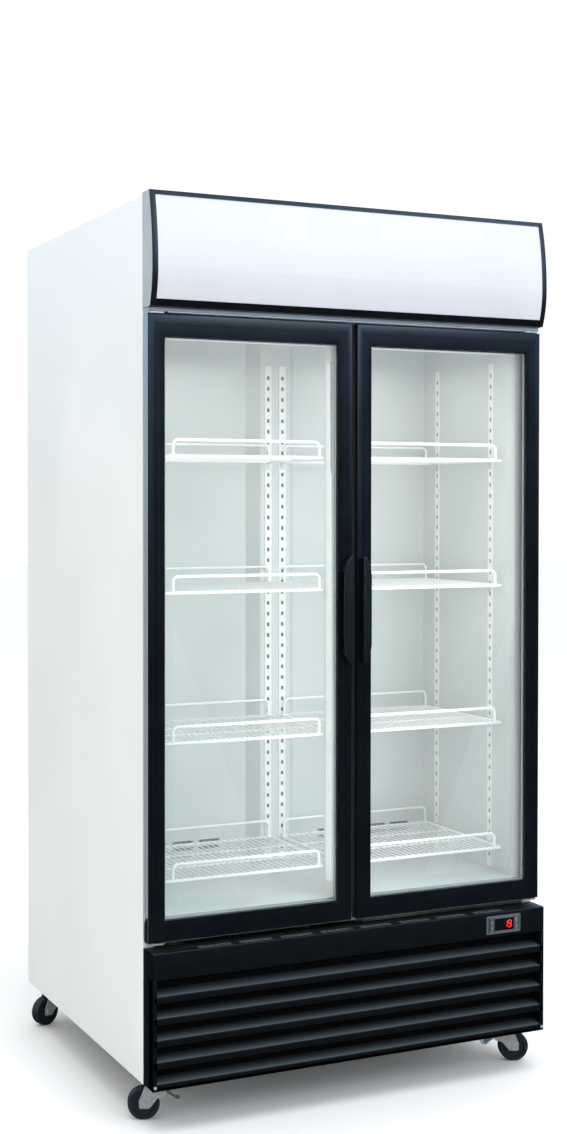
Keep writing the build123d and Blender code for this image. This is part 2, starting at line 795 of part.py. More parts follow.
def fan_blades(centre, radius, hub_r, depth):
    """Axial fan that turns about Y, its hub bored for the motor shaft."""
    x, y, z = centre
    rod((x, y - depth / 2, z), (0, 1, 0), depth, hub_r)
    for index in range(5):
        along = (cos(radians(index * 72)), 0, sin(radians(index * 72)))
        normal = (-along[2] * sin(blade_pitch), cos(blade_pitch), along[0] * sin(blade_pitch))
        with BuildSketch(Plane(origin=centre, x_dir=along, z_dir=normal)) as blade:
            with Locations(((hub_r + radius) / 2 - 1, 0)):
                RectangleRounded(radius - hub_r, radius * 0.4, radius * 0.15)
        extrude(blade.sketch, amount=0.8, both=True)
    rod((x, y - depth / 2, z), (0, 1, 0), depth, 3.05, Mode.SUBTRACT)


def fan_mount(centre, opening_r, frame, motor_r, plate_y):
    """Square shroud plate with its round throat, a motor on arms and the motor shaft."""
    x, y, z = centre
    half_frame = frame / 2
    block((x - half_frame, x + half_frame), (plate_y, plate_y + 2), (z - half_frame, z + half_frame))
    rod((x, plate_y, z), (0, 1, 0), 2, opening_r, Mode.SUBTRACT)
    motor_y = y + 16
    for turn in (45, 135):
        arm = Plane(origin=(x, motor_y, z), x_dir=(cos(radians(turn)), 0, sin(radians(turn))), z_dir=(0, 1, 0))
        with BuildSketch(arm) as bar:
            Rectangle(2 * opening_r + 24, 12)
        extrude(bar.sketch, amount=3)
        for end in (-opening_r - 8, opening_r + 8):
            foot = (x + end * cos(radians(turn)), plate_y, z + end * sin(radians(turn)))
            rod(foot, (0, 1, 0), motor_y + 3 - plate_y, 4)
    rod((x, motor_y, z), (0, 1, 0), 42, motor_r)
    rod((x, y - 14, z), (0, 1, 0), 32, 3)


def fin_coil(x, y, z, fins, rows):
    """Finned coil: thin upright plates on rows of tubes, with an end plate at each side."""
    pitch = (x[1] - x[0] - 2) / (fins - 1)
    for index in range(fins):
        low = x[0] + index * pitch
        block((low, low + (2 if index in (0, fins - 1) else 1)), y, z)
    for row in range(rows):
        tube_z = z[0] + (row + 0.5) * (z[1] - z[0]) / rows
        for share in (0.3, 0.7):
            tube_y = y[0] + share * (y[1] - y[0])
            rod((x[0] - 8, tube_y, tube_z), (1, 0, 0), x[1] - x[0] + 16, 4)


# ---- Machine space: condenser behind the grille, its fan, compressor and pan ----
tray_z = body_bottom + base_sheet
condenser_y = cab_y + 60
fan_z = tray_z + 140
with BuildPart() as condenser_coil:
    fin_coil((-380, -60), (condenser_y, condenser_y + 50), (tray_z, tray_z + 270), 28, 9)
condenser_coil.part.label = "condenser_coil"
export_step(condenser_coil.part, "parts/condenser_coil.step")

condenser_fan_at = (-220, condenser_y + 90, fan_z)
with BuildPart() as condenser_shroud:
    fan_mount(condenser_fan_at, 112, 276, 32, condenser_y + 68)
condenser_shroud.part.label = "condenser_shroud"
export_step(condenser_shroud.part, "parts/condenser_shroud.step")

with BuildPart() as condenser_fan:
    fan_blades(condenser_fan_at, 105, 22, 24)
condenser_fan.part.label = "condenser_fan"
export_step(condenser_fan.part, "parts/condenser_fan.step")

compressor_at = (190, 60)
with BuildPart() as compressor:
    with BuildSketch(Plane.XZ.offset(-compressor_at[1])):
        with BuildLine():
            Polyline((190, tray_z + 20), (272, tray_z + 20))
            Polyline((272, tray_z + 20), (280, tray_z + 40), (280, tray_z + 120))
            Spline(
                (280, tray_z + 120),
                (250, tray_z + 175),
                (190, tray_z + 195),
                tangents=((0, 1), (-1, 0)),
            )
            Line((190, tray_z + 195), (190, tray_z + 20))
        make_face()
    revolve(axis=Axis((190, compressor_at[1], 0), (0, 0, 1)))
    with Locations((190, compressor_at[1], tray_z + 17)):
        Box(230, 130, 6)
    with Locations((190, compressor_at[1], tray_z + 7)):
        with GridLocations(200, 100, 2, 2):
            Cylinder(10, 14)
    block((262, 306), (compressor_at[1] - 28, compressor_at[1] + 28), (tray_z + 60, tray_z + 115))
compressor.part.label = "compressor"
export_step(compressor.part, "parts/compressor.step")

with BuildPart() as drain_pan:
    block((-340, 20), (170, 380), (tray_z, tray_z + 45))
    block((-337, 17), (173, 377), (tray_z + 3, tray_z + 45), Mode.SUBTRACT)
drain_pan.part.label = "drain_pan"
export_step(drain_pan.part, "parts/drain_pan.step")

with BuildPart() as power_inlet:
    block((360, 408), (rear_y - skin - 26, rear_y - skin), (tray_z, tray_z + 26))
    block((364, 404), (rear_y - skin - 22, rear_y - skin), (tray_z + 4, tray_z + 22), Mode.SUBTRACT)
    for x in (376, 384, 392):
        block((x - 1, x + 1), (rear_y - skin - 22, rear_y - skin - 6), (tray_z + 10, tray_z + 16))
power_inlet.part.label = "power_inlet"
export_step(power_inlet.part, "parts/power_inlet.step")

# ---- Evaporator and its fan, in the duct behind the rear panel ----
evaporator_y = duct_y + 90
with BuildPart() as evaporator_coil:
    fin_coil((-300, 300), (evaporator_y, evaporator_y + 60), (floor_z + 20, floor_z + 220), 40, 6)
    # Feet hold the coil off the floor of the cold space
    for x in (-298, 297):
        block((x, x + 1.5), (evaporator_y, evaporator_y + 60), (floor_z, floor_z + 24))
evaporator_coil.part.label = "evaporator_coil"
export_step(evaporator_coil.part, "parts/evaporator_coil.step")

evap_fan_at = (0, duct_y + 110, floor_z + 400)
with BuildPart() as evap_shroud:
    fan_mount(evap_fan_at, 92, 230, 26, duct_y + 90)
    for x in (-115, 113):
        block((x, x + 2), (duct_y + skin, duct_y + 92), (floor_z + 285, floor_z + 515))
evap_shroud.part.label = "evap_shroud"
export_step(evap_shroud.part, "parts/evap_shroud.step")

with BuildPart() as evap_fan:
    fan_blades(evap_fan_at, 85, 18, 20)
evap_fan.part.label = "evap_fan"
export_step(evap_fan.part, "parts/evap_fan.step")
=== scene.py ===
from math import cos, radians, sin, sqrt

import bmesh
import bpy
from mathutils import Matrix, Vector


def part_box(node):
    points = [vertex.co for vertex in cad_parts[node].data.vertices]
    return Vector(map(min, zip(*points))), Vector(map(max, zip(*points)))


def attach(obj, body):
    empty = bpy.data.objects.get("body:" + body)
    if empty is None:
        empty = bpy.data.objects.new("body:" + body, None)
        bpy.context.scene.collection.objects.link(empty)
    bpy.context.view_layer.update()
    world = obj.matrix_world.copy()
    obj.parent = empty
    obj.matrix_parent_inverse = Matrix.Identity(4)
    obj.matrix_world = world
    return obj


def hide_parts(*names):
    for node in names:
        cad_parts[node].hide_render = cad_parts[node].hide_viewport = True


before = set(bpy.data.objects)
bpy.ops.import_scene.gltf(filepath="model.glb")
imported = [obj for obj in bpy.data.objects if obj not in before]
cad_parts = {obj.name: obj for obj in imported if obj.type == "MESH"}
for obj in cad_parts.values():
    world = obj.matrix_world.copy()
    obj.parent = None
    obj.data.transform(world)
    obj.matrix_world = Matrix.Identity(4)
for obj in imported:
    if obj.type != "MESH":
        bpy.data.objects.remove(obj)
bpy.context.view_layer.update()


# ---- Base tray ----
# Folded galvanised steel tray that carries the machine and the castors. Hot dip zinc leaves large
# dull crystals, so the sheet reads as a patchwork of slightly different greys.
def linear(hex_colour):
    """Linear RGBA of an sRGB hex colour."""
    share = [int(hex_colour[start : start + 2], 16) / 255 for start in (1, 3, 5)]
    return (*[c / 12.92 if c <= 0.04045 else ((c + 0.055) / 1.055) ** 2.4 for c in share], 1)


def add_node(tree, kind, settings=None, links=None):
    """Add one node, set its sockets or properties and link its inputs."""
    made = tree.nodes.new(kind)
    for name, value in (settings or {}).items():
        if isinstance(name, int) or name in made.inputs:
            made.inputs[name].default_value = value
        else:
            setattr(made, name, value)
    for name, source in (links or {}).items():
        tree.links.new(source, made.inputs[name])
    return made


def start_finish(name, colour, roughness, **extra):
    """New material with its Principled shader; extra words are the shader's own sockets."""
    finish = bpy.data.materials.new(name)
    finish.use_nodes = True
    tree = finish.node_tree
    shader = tree.nodes["Principled BSDF"]
    shader.inputs["Base Color"].default_value = linear(colour)
    shader.inputs["Roughness"].default_value = roughness
    for word, value in extra.items():
        shader.inputs[word.replace("_", " ")].default_value = value
    place = add_node(tree, "ShaderNodeTexCoord").outputs["Object"]
    return finish, tree, shader, place


def shades(tree, factor, low, high, start=0.3, end=0.7):
    """Colour that runs from low to high as the factor goes from start to end."""
    ramp = add_node(tree, "ShaderNodeValToRGB", links={"Fac": factor})
    stops = ramp.color_ramp.elements
    stops[0].position, stops[1].position = start, end
    stops[0].color, stops[1].color = linear(low), linear(high)
    return ramp.outputs["Color"]


def grain(tree, place, size_mm, detail=2.0):
    """Noise whose patches are about size_mm across."""
    settings = {"Scale": 1000 / size_mm, "Detail": detail}
    return add_node(tree, "ShaderNodeTexNoise", settings, {"Vector": place}).outputs["Fac"]


def rough_range(tree, shader, factor, low, high):
    """Roughness between low and high, driven by the factor."""
    spread = add_node(tree, "ShaderNodeMapRange", {"To Min": low, "To Max": high}, {"Value": factor})
    tree.links.new(spread.outputs["Result"], shader.inputs["Roughness"])


def relief(tree, shader, height, depth_mm, strength=1.0):
    """Bump whose full height is depth_mm."""
    settings = {"Strength": strength, "Distance": depth_mm / 1000}
    bump = add_node(tree, "ShaderNodeBump", settings, {"Height": height})
    tree.links.new(bump.outputs["Normal"], shader.inputs["Normal"])


def dress(finish, *names):
    """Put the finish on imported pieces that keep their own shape."""
    for name in names:
        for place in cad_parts[name].material_slots:
            place.material = finish


galvanised, tree, shader, place = start_finish(
    "galvanised_steel_spangled", "#9CA3A6", 0.42, Metallic=0.35
)
crystal = add_node(tree, "ShaderNodeTexVoronoi", {"Scale": 1000 / 14}, {"Vector": place})
crystal = crystal.outputs["Color"]
tree.links.new(shades(tree, crystal, "#868D91", "#B4BABC", 0.1, 0.9), shader.inputs["Base Color"])
rough_range(tree, shader, crystal, 0.34, 0.52)
dress(galvanised, "base_frame")

# ---- Castors ----
# Pressed steel forks, zinc plated in a barrel, on a plate screwed under the tray. Bright zinc is a
# cool silver with faint cloudy patches and a soft sparkle.
zinc, tree, shader, place = start_finish("zinc_plated_steel", "#C9CBC8", 0.36, Metallic=0.55)
cloud = grain(tree, place, 9, 3.0)
tree.links.new(shades(tree, cloud, "#BFC2C1", "#DADBD8"), shader.inputs["Base Color"])
rough_range(tree, shader, cloud, 0.24, 0.42)
relief(tree, shader, grain(tree, place, 0.9), 0.05, 0.4)
castor_names = ("front_left", "front_right", "rear_left", "rear_right")
dress(zinc, "castor_plates", *[f"castor_fork_{name}" for name in castor_names])
dress(zinc, "castor_brake_front_left", "castor_brake_front_right")

# Solid rubber tyres moulded on a nylon hub. Rubber is nearly black, matt, and greys a little where
# it rolls on the floor, so the dust sits in a fine pebbled surface.
rubber, tree, shader, place = start_finish("moulded_black_rubber", "#17181A", 0.62)
dust = grain(tree, place, 7, 4.0)
tree.links.new(shades(tree, dust, "#121315", "#26282A", 0.35, 0.75), shader.inputs["Base Color"])
rough_range(tree, shader, dust, 0.5, 0.78)
relief(tree, shader, grain(tree, place, 1.2), 0.15, 0.5)
dress(rubber, *[f"castor_wheel_{name}" for name in castor_names])

# ---- Machine space ----
# Compressor pot and fan shroud in stove enamel: a hard black coat over pressed steel that shows a
# slightly wavy gloss.
enamel, tree, shader, place = start_finish("black_stove_enamel", "#121315", 0.3)
wave = grain(tree, place, 18)
tree.links.new(shades(tree, wave, "#0F1012", "#1B1D1F"), shader.inputs["Base Color"])
rough_range(tree, shader, wave, 0.22, 0.4)
relief(tree, shader, wave, 0.3, 0.3)
dress(enamel, "compressor", "condenser_shroud")

# Coil fins are stamped from bare aluminium sheet, which dulls to a soft grey in the air stream.
fin, tree, shader, place = start_finish("bare_aluminium_fin", "#B4B8BA", 0.45, Metallic=0.9)
haze = grain(tree, place, 12)
tree.links.new(shades(tree, haze, "#9EA3A6", "#C4C8C9"), shader.inputs["Base Color"])
rough_range(tree, shader, haze, 0.36, 0.58)
dress(fin, "condenser_coil", "evaporator_coil")

# Fan blades are injection moulded nylon, and the mains inlet is the same black plastic.
nylon, tree, shader, place = start_finish("moulded_black_nylon", "#17191B", 0.5)
skin_grain = grain(tree, place, 1.5)
tree.links.new(shades(tree, skin_grain, "#131517", "#1F2224"), shader.inputs["Base Color"])
relief(tree, shader, skin_grain, 0.08, 0.4)
dress(nylon, "condenser_fan", "evap_fan", "power_inlet")

# The drain pan is vacuum formed from white polystyrene, with a faint satin drag in the sheet.
styrene, tree, shader, place = start_finish("vacuum_formed_polystyrene", "#DDDDD6", 0.42)
drag = grain(tree, place, 6)
tree.links.new(shades(tree, drag, "#D3D3CB", "#E4E4DE"), shader.inputs["Base Color"])
relief(tree, shader, drag, 0.1, 0.3)
dress(styrene, "drain_pan")
dress(galvanised, "evap_shroud")

# ---- Body skins and foam ----
# Powder coated steel sides, baked gloss white. The powder flows out to a very slight orange peel of
# about 3 mm, which only shows as a soft break in the reflections.
powder, tree, shader, place = start_finish("powder_coated_steel_white", "#E9EBEA", 0.36)
peel = grain(tree, place, 3.0, 1.0)
tone = grain(tree, place, 350, 2.0)
tree.links.new(shades(tree, tone, "#E6E9E7", "#ECEEEC"), shader.inputs["Base Color"])
rough_range(tree, shader, tone, 0.28, 0.36)
relief(tree, shader, peel, 0.05, 0.35)
dress(powder, "side_panel_left", "side_panel_right")
dress(galvanised, "top_panel", "rear_panel", "sign_housing")

# Rigid polyurethane foam poured between skin and liner: pale yellow with open cells at cut edges.
foam, tree, shader, place = start_finish("poured_polyurethane_foam", "#E5D6A4", 0.9)
cells = add_node(tree, "ShaderNodeTexVoronoi", {"Scale": 1000 / 2.5}, {"Vector": place})
cells = cells.outputs["Distance"]
tree.links.new(shades(tree, cells, "#D8C68E", "#EDE2B8", 0.1, 0.6), shader.inputs["Base Color"])
relief(tree, shader, cells, 0.4, 0.6)
dress(foam, "insulation")

# ---- Liner, duct panel and strips ----
# Lacquered steel sheet, folded to the inner box. The coil-coated lacquer is a cool white with a
# satin sheen and hardly any texture.
lacquer, tree, shader, place = start_finish("coil_lacquered_liner_steel", "#D2D6D5", 0.38)
tone = grain(tree, place, 240)
tree.links.new(shades(tree, tone, "#CDD2D1", "#D8DBD9"), shader.inputs["Base Color"])
rough_range(tree, shader, tone, 0.32, 0.46)
relief(tree, shader, grain(tree, place, 2.2, 1.0), 0.03, 0.3)
dress(lacquer, "liner", "duct_panel")
# The flat sheets keep even normals out to their pierced edges.
for name in ("liner", "duct_panel"):
    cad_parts[name].modifiers.new("even_sheet", "WEIGHTED_NORMAL")

# Shelf strips are roll formed steel with a thicker white powder coat, brighter than the wall.
strip_white, tree, shader, place = start_finish("powder_coated_strip", "#F4F3F0", 0.34)
coat = grain(tree, place, 30)
tree.links.new(shades(tree, coat, "#F0EFEC", "#F8F7F4"), shader.inputs["Base Color"])
relief(tree, shader, grain(tree, place, 2.6, 1.0), 0.05, 0.3)
dress(strip_white, "pilasters")

# The mullion is a hollow extrusion in rigid PVC, warmer than the steel beside it.
pvc, tree, shader, place = start_finish("extruded_rigid_pvc", "#E6E5DE", 0.4)
drawn = add_node(tree, "ShaderNodeMapping", {"Scale": (400, 400, 6)}, {"Vector": place})
drawn = drawn.outputs["Vector"]
streak = add_node(tree, "ShaderNodeTexNoise", {"Scale": 1.0, "Detail": 2.0}, {"Vector": drawn})
streak = streak.outputs["Fac"]
tree.links.new(shades(tree, streak, "#E0DFD7", "#EAE9E3"), shader.inputs["Base Color"])
relief(tree, shader, streak, 0.05, 0.3)
dress(pvc, "mullion")
dress(zinc, "shelf_clips")

# Lamp bars behind opal polycarbonate, which scatters the light into an even glow.
opal_bar, tree, shader, place = start_finish(
    "opal_polycarbonate_lamp", "#F4F6F8", 0.45, Emission_Color=linear("#F2F7FF"), Emission_Strength=0.05
)
milk = grain(tree, place, 20)
tree.links.new(shades(tree, milk, "#EEF1F4", "#FAFBFC"), shader.inputs["Base Color"])
dress(opal_bar, "lamp_bars", "sign_light")

# ---- Shelves ----
# Steel wire welded to a rod frame and dipped in white epoxy. The coat pulls into a soft gloss and
# runs slightly thick at the welds.
epoxy, tree, shader, place = start_finish("epoxy_coated_wire", "#FAFBF9", 0.28)
flow = grain(tree, place, 5)
tree.links.new(shades(tree, flow, "#F6F8F6", "#FEFEFC"), shader.inputs["Base Color"])
rough_range(tree, shader, flow, 0.22, 0.36)
relief(tree, shader, flow, 0.12, 0.3)
dress(epoxy, "shelves_left", "shelves_right")

# ---- Header and hinges ----
# Satin anodised aluminium strip that closes the gap over the doors, with a rolled drip bead along
# its foot that catches a thin line of light.
door_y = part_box("door_frame_left")[0].y
door_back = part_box("door_frame_left")[1].y
cab_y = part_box("side_panel_left")[0].y
half_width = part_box("side_panel_right")[1].x
mm = 0.001


def piece(shell, name, body, finishes, crease=35):
    """Finished object from a bmesh: shaded, given its finishes, riding on its body."""
    bmesh.ops.remove_doubles(shell, verts=shell.verts, dist=1e-6)
    bmesh.ops.recalc_face_normals(shell, faces=shell.faces)
    mesh = bpy.data.meshes.new(name)
    shell.to_mesh(mesh)
    shell.free()
    mesh.shade_smooth()
    mesh.set_sharp_from_angle(angle=radians(crease))
    made = bpy.data.objects.new(name, mesh)
    bpy.context.scene.collection.objects.link(made)
    for finish in finishes:
        mesh.materials.append(finish)
    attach(made, body)
    return made


def bar(shell, outline, ends):
    """Closed bar: the outline, points (y, z), run along X between the two ends."""
    rings = [[shell.verts.new((x, y, z)) for y, z in outline] for x in ends]
    for i in range(len(outline)):
        beyond = (i + 1) % len(outline)
        shell.faces.new((rings[0][i], rings[0][beyond], rings[1][beyond], rings[1][i]))
    for ring in rings:
        shell.faces.new(ring)


def rounded(low, high, radius, steps=3):
    """Rectangle outline from low to high with its corners rounded."""
    points = []
    corners = (
        (high[0] - radius, high[1] - radius, 0),
        (low[0] + radius, high[1] - radius, 90),
        (low[0] + radius, low[1] + radius, 180),
        (high[0] - radius, low[1] + radius, 270),
    )
    for middle_y, middle_z, start in corners:
        for step in range(steps + 1):
            angle = radians(start + 90 * step / steps)
            points.append((middle_y + radius * cos(angle), middle_z + radius * sin(angle)))
    return points


anodised, tree, shader, place = start_finish("anodised_aluminium_satin", "#B0B7BA", 0.38, Metallic=0.5)
drawn = add_node(tree, "ShaderNodeMapping", {"Scale": (8, 900, 900)}, {"Vector": place})
drawn = drawn.outputs["Vector"]
lines = add_node(tree, "ShaderNodeTexNoise", {"Scale": 1.0, "Detail": 3.0}, {"Vector": drawn})
lines = lines.outputs["Fac"]
tree.links.new(shades(tree, lines, "#A5AEB2", "#BCC3C6"), shader.inputs["Base Color"])
rough_range(tree, shader, lines, 0.3, 0.46)
header_low, header_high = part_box("header_strip")
shell = bmesh.new()
bar(
    shell,
    rounded((header_low.y, header_low.z), (header_high.y, header_high.z), 1.2 * mm),
    (header_low.x, header_high.x),
)
bead = (header_low.y - 2.2 * mm, header_low.z - 2.4 * mm)
bar(
    shell,
    rounded(bead, (bead[0] + 4.4 * mm, bead[1] + 4.4 * mm), 2 * mm, 4),
    (header_low.x + 44 * mm, header_high.x - 44 * mm),
)
header = piece(shell, "header_strip_beaded", "cabinet", [anodised])
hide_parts("header_strip")
dress(zinc, "hinge_brackets_top", "hinge_brackets_bottom")

# ---- Slots in the shelf strips ----
# A thin dark grey tablet at the bottom of every punched slot of the strips is painted shade, on
# the two column strips and the four wall strips.
painted_slot_shade, tree, shader, place = start_finish("painted_shade_punched_hole", "#5E6768", 0.8)
tree.links.new(shades(tree, grain(tree, place, 6), "#545D5E", "#687172"), shader.inputs["Base Color"])
strips_low, strips_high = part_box("pilasters")
strips_middle = (strips_low.z + strips_high.z) / 2
half_w, half_h, tablet, softened = 3.4 * mm, 4.4 * mm, 0.6 * mm, 0.2 * mm
slot_pitch, slot_rows = 26.4 * mm, 45
column_face, column_x = door_y + 400 * mm, 19.5 * mm
wall_strip_ys = (door_y + 128 * mm, door_y + 365 * mm)
shell = bmesh.new()
for row in range(slot_rows):
    z = strips_middle + (row - (slot_rows - 1) / 2) * slot_pitch
    low_z, high_z = z - half_h, z + half_h
    for side in (-1, 1):
        at_column = rounded((column_face - tablet, low_z), (column_face, high_z), softened, 1)
        bar(shell, at_column, (side * column_x - half_w, side * column_x + half_w))
        wall = side * strips_high.x
        for y in wall_strip_ys:
            at_wall = rounded((y - half_w, low_z), (y + half_w, high_z), softened, 1)
            bar(shell, at_wall, (wall - side * tablet, wall))
piece(shell, "strip_slot_shades", "cabinet", [painted_slot_shade])

# ---- Doors ----
# Mitred frames of extruded aluminium, lacquered gloss black on the face with a fine shadow groove.
# The edge on the hinge side is left bare, so it reads as a grey line down the side.
gloss_black, tree, shader, place = start_finish(
    "gloss_black_lacquer", "#090C10", 0.2, Specular_IOR_Level=0.4
)
wave = grain(tree, place, 60)
tree.links.new(shades(tree, wave, "#080B0F", "#0C1015"), shader.inputs["Base Color"])
rough_range(tree, shader, wave, 0.16, 0.26)
relief(tree, shader, grain(tree, place, 1.6, 1.0), 0.01, 0.25)


def mitred(shell, outer, inner, profile):
    """Frame between two rectangles (x, z, x, z); profile gives (share across, offset, y)."""
    rings = []
    for share, offset, y in profile:
        left = outer[0] + (inner[0] - outer[0]) * share + offset
        low = outer[1] + (inner[1] - outer[1]) * share + offset
        right = outer[2] + (inner[2] - outer[2]) * share - offset
        high = outer[3] + (inner[3] - outer[3]) * share - offset
        corners = ((left, low), (right, low), (right, high), (left, high))
        rings.append([shell.verts.new((x, y, z)) for x, z in corners])
    for index, ring in enumerate(rings):
        after = rings[(index + 1) % len(rings)]
        for corner in range(4):
            beyond = (corner + 1) % 4
            shell.faces.new((ring[corner], ring[beyond], after[beyond], after[corner]))


frame_profile, nose = [(0, 0, door_back - 0.6 * mm)], 2.5 * mm
for step in range(5):
    angle = radians(90 * step / 4)
    frame_profile.append((0, nose * (1 - cos(angle)), door_y + nose * (1 - sin(angle))))
groove_at, groove_deep = 0.46, 0.7 * mm
glass_front, glass_rear, glass_lap = 3 * mm, 19 * mm, 9 * mm
frame_profile += [
    (groove_at, -0.9 * mm, door_y),
    (groove_at, -0.5 * mm, door_y + groove_deep),
    (groove_at, 0.5 * mm, door_y + groove_deep),
    (groove_at, 0.9 * mm, door_y),
    (1, -1.4 * mm, door_y),
    (1, -0.4 * mm, door_y + 0.4 * mm),
    (1, 0, door_y + 1.4 * mm),
    (1, 0, door_y + glass_front),
    (1, -glass_lap, door_y + glass_front),
    (1, -glass_lap, door_y + glass_rear),
    (1, 0, door_y + glass_rear),
    (1, 0, door_back - 0.6 * mm),
    (1, -0.6 * mm, door_back),
    (0, 0.6 * mm, door_back),
]
hinge_stile, handle_stile, top_rail, bottom_rail = 39 * mm, 37 * mm, 48 * mm, 46 * mm
seal_w = 14 * mm
door_low, door_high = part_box("door_frame_left")[0].z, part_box("door_frame_left")[1].z

# Gaskets are magnetic strips in a soft grey bellows, pushed into the back of each door.
grey_gasket, tree, shader, place = start_finish("soft_grey_pvc_gasket", "#8B9193", 0.55)
bloom = grain(tree, place, 25)
tree.links.new(shades(tree, bloom, "#7F8587", "#979C9E"), shader.inputs["Base Color"])
relief(tree, shader, grain(tree, place, 1.4), 0.06, 0.4)

# Handles and corner caps are moulded ABS with a fine spark texture that dulls their gloss.
abs_black, tree, shader, place = start_finish(
    "moulded_black_abs", "#0D1012", 0.3, Specular_IOR_Level=0.4
)
spark = grain(tree, place, 1.1)
tree.links.new(shades(tree, grain(tree, place, 40), "#0B0E10", "#111417"), shader.inputs["Base Color"])
rough_range(tree, shader, spark, 0.24, 0.36)
relief(tree, shader, spark, 0.03, 0.35)


def lip_handle(shell, edge_x, side, middle_z):
    """Ear shaped pull: a wall beside the gap and a curved plate that stands 18 mm off the door."""
    reach, width, height, curl = 18 * mm, 21 * mm, 121 * mm, 52 * mm

    def outline(inset):
        points = [(inset, -height + curl * 0.02 + inset), (inset, height - curl * 0.02 - inset)]
        for step in range(1, 15):
            angle = radians(90 * step / 14)
            points.append(((width - inset) * sin(angle), height - curl + (curl - inset) * cos(angle)))
        for step in range(15):
            angle = radians(90 * step / 14)
            points.append(((width - inset) * cos(angle), curl - height - (curl - inset) * sin(angle)))
        return points

    def slab(layers, shape):
        rings = [
            [shell.verts.new((edge_x + side * x, y, middle_z + z)) for x, z in shape(inset)]
            for y, inset in layers
        ]
        for ring, after in zip(rings, rings[1:]):
            for i in range(len(ring)):
                beyond = (i + 1) % len(ring)
                shell.faces.new((ring[i], ring[beyond], after[beyond], after[i]))
        shell.faces.new(rings[0])
        shell.faces.new(rings[-1])

    front = door_y - reach
    face = [(front + 5 * mm, 0.6 * mm), (front + 4.4 * mm, 0), (front + 2.2 * mm, 0)]
    face += [(front + 0.9 * mm, 0.5 * mm), (front + 0.2 * mm, 1.6 * mm), (front, 3.2 * mm)]
    slab(face, outline)

    wall_t, foot_reach, start_x = 5 * mm, 19 * mm, 2 * mm
    foot_low, foot_high = height - 34 * mm, height - 4 * mm
    behind = [(front + 4 * mm, 0.0), (door_y, 0.0)]

    def wall(inset):
        across = [(inset, height - 4 * mm), (wall_t, height - 3 * mm)]
        return [(x, -z) for x, z in across] + across[::-1]

    def upper_foot(_):
        lower_edge = [(start_x, foot_low), (foot_reach, foot_low)]
        return lower_edge + [(wall_t, foot_high), (start_x, foot_high)]

    def lower_foot(_):
        lower_edge = [(start_x, -foot_high), (wall_t, -foot_high)]
        return lower_edge + [(foot_reach, -foot_low), (start_x, -foot_low)]

    for shape in (wall, lower_foot, upper_foot):
        slab(behind, shape)


handle_low, handle_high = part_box("handle_left")
for side, hand in ((-1, "left"), (1, "right")):
    body = f"door_{hand}"
    hinge_x, gap_x = side * half_width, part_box(f"door_frame_{hand}")[0 if side > 0 else 1].x
    outer = (min(hinge_x, gap_x), door_low, max(hinge_x, gap_x), door_high)
    glass_x = sorted((hinge_x - side * hinge_stile, gap_x + side * handle_stile))
    inner = (glass_x[0], door_low + bottom_rail, glass_x[1], door_high - top_rail)
    shell = bmesh.new()
    mitred(shell, outer, inner, frame_profile)
    for face in shell.faces:
        middle = face.calc_center_median()
        if abs(middle.x - hinge_x) < 0.1 * mm and door_y + 2 * mm < middle.y:
            face.material_index = 1
    leaf = piece(shell, f"door_frame_{hand}_mitred", body, [gloss_black, anodised])
    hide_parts(f"door_frame_{hand}")

    seal_low, seal_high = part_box(f"gasket_{hand}")
    seal_outer = (seal_low.x, seal_low.z, seal_high.x, seal_high.z)
    seal_inner = (seal_low.x + seal_w, seal_low.z + seal_w, seal_high.x - seal_w, seal_high.z - seal_w)
    fold = (seal_high.y - seal_low.y) / 4
    seal_profile = [
        (0, 1.5 * mm, seal_low.y),
        (0, 0.2 * mm, seal_low.y + fold),
        (0, 2.2 * mm, seal_low.y + 2 * fold),
        (0, 0, seal_low.y + 3 * fold),
        (0, 1.0 * mm, seal_high.y),
        (1, -1.0 * mm, seal_high.y),
        (1, 0, seal_low.y + 3 * fold),
        (1, -2.2 * mm, seal_low.y + 2 * fold),
        (1, -0.2 * mm, seal_low.y + fold),
        (1, -1.5 * mm, seal_low.y),
    ]
    shell = bmesh.new()
    mitred(shell, seal_outer, seal_inner, seal_profile)
    seal = piece(shell, f"gasket_{hand}_bellows", body, [grey_gasket])
    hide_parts(f"gasket_{hand}")

    shell = bmesh.new()
    lip_handle(shell, gap_x + side * 8 * mm, side, (handle_low.z + handle_high.z) / 2)
    pull = piece(shell, f"handle_{hand}_moulded", body, [abs_black])
    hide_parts(f"handle_{hand}")

    # Moulded cap over the bare edge at the hinge foot, cut at a slant along its top
    shell = bmesh.new()
    cap_x = sorted((hinge_x - side * 0.4 * mm, hinge_x + side * 0.9 * mm))
    cap_back = door_back - 0.8 * mm
    cap_outline = [
        (door_y + 2.4 * mm, door_low + 0.6 * mm),
        (cap_back - 3 * mm, door_low + 0.6 * mm),
        (cap_back, door_low + 4 * mm),
        (cap_back, door_low + 41 * mm),
        (door_y + 9 * mm, door_low + 54 * mm),
        (door_y + 2.4 * mm, door_low + 54 * mm),
    ]
    bar(shell, cap_outline, cap_x)
    cap = piece(shell, f"corner_cap_{hand}", body, [abs_black])
    edge = cap.modifiers.new("edge_radius", "BEVEL")
    edge.width, edge.segments = 0.4 * mm, 2

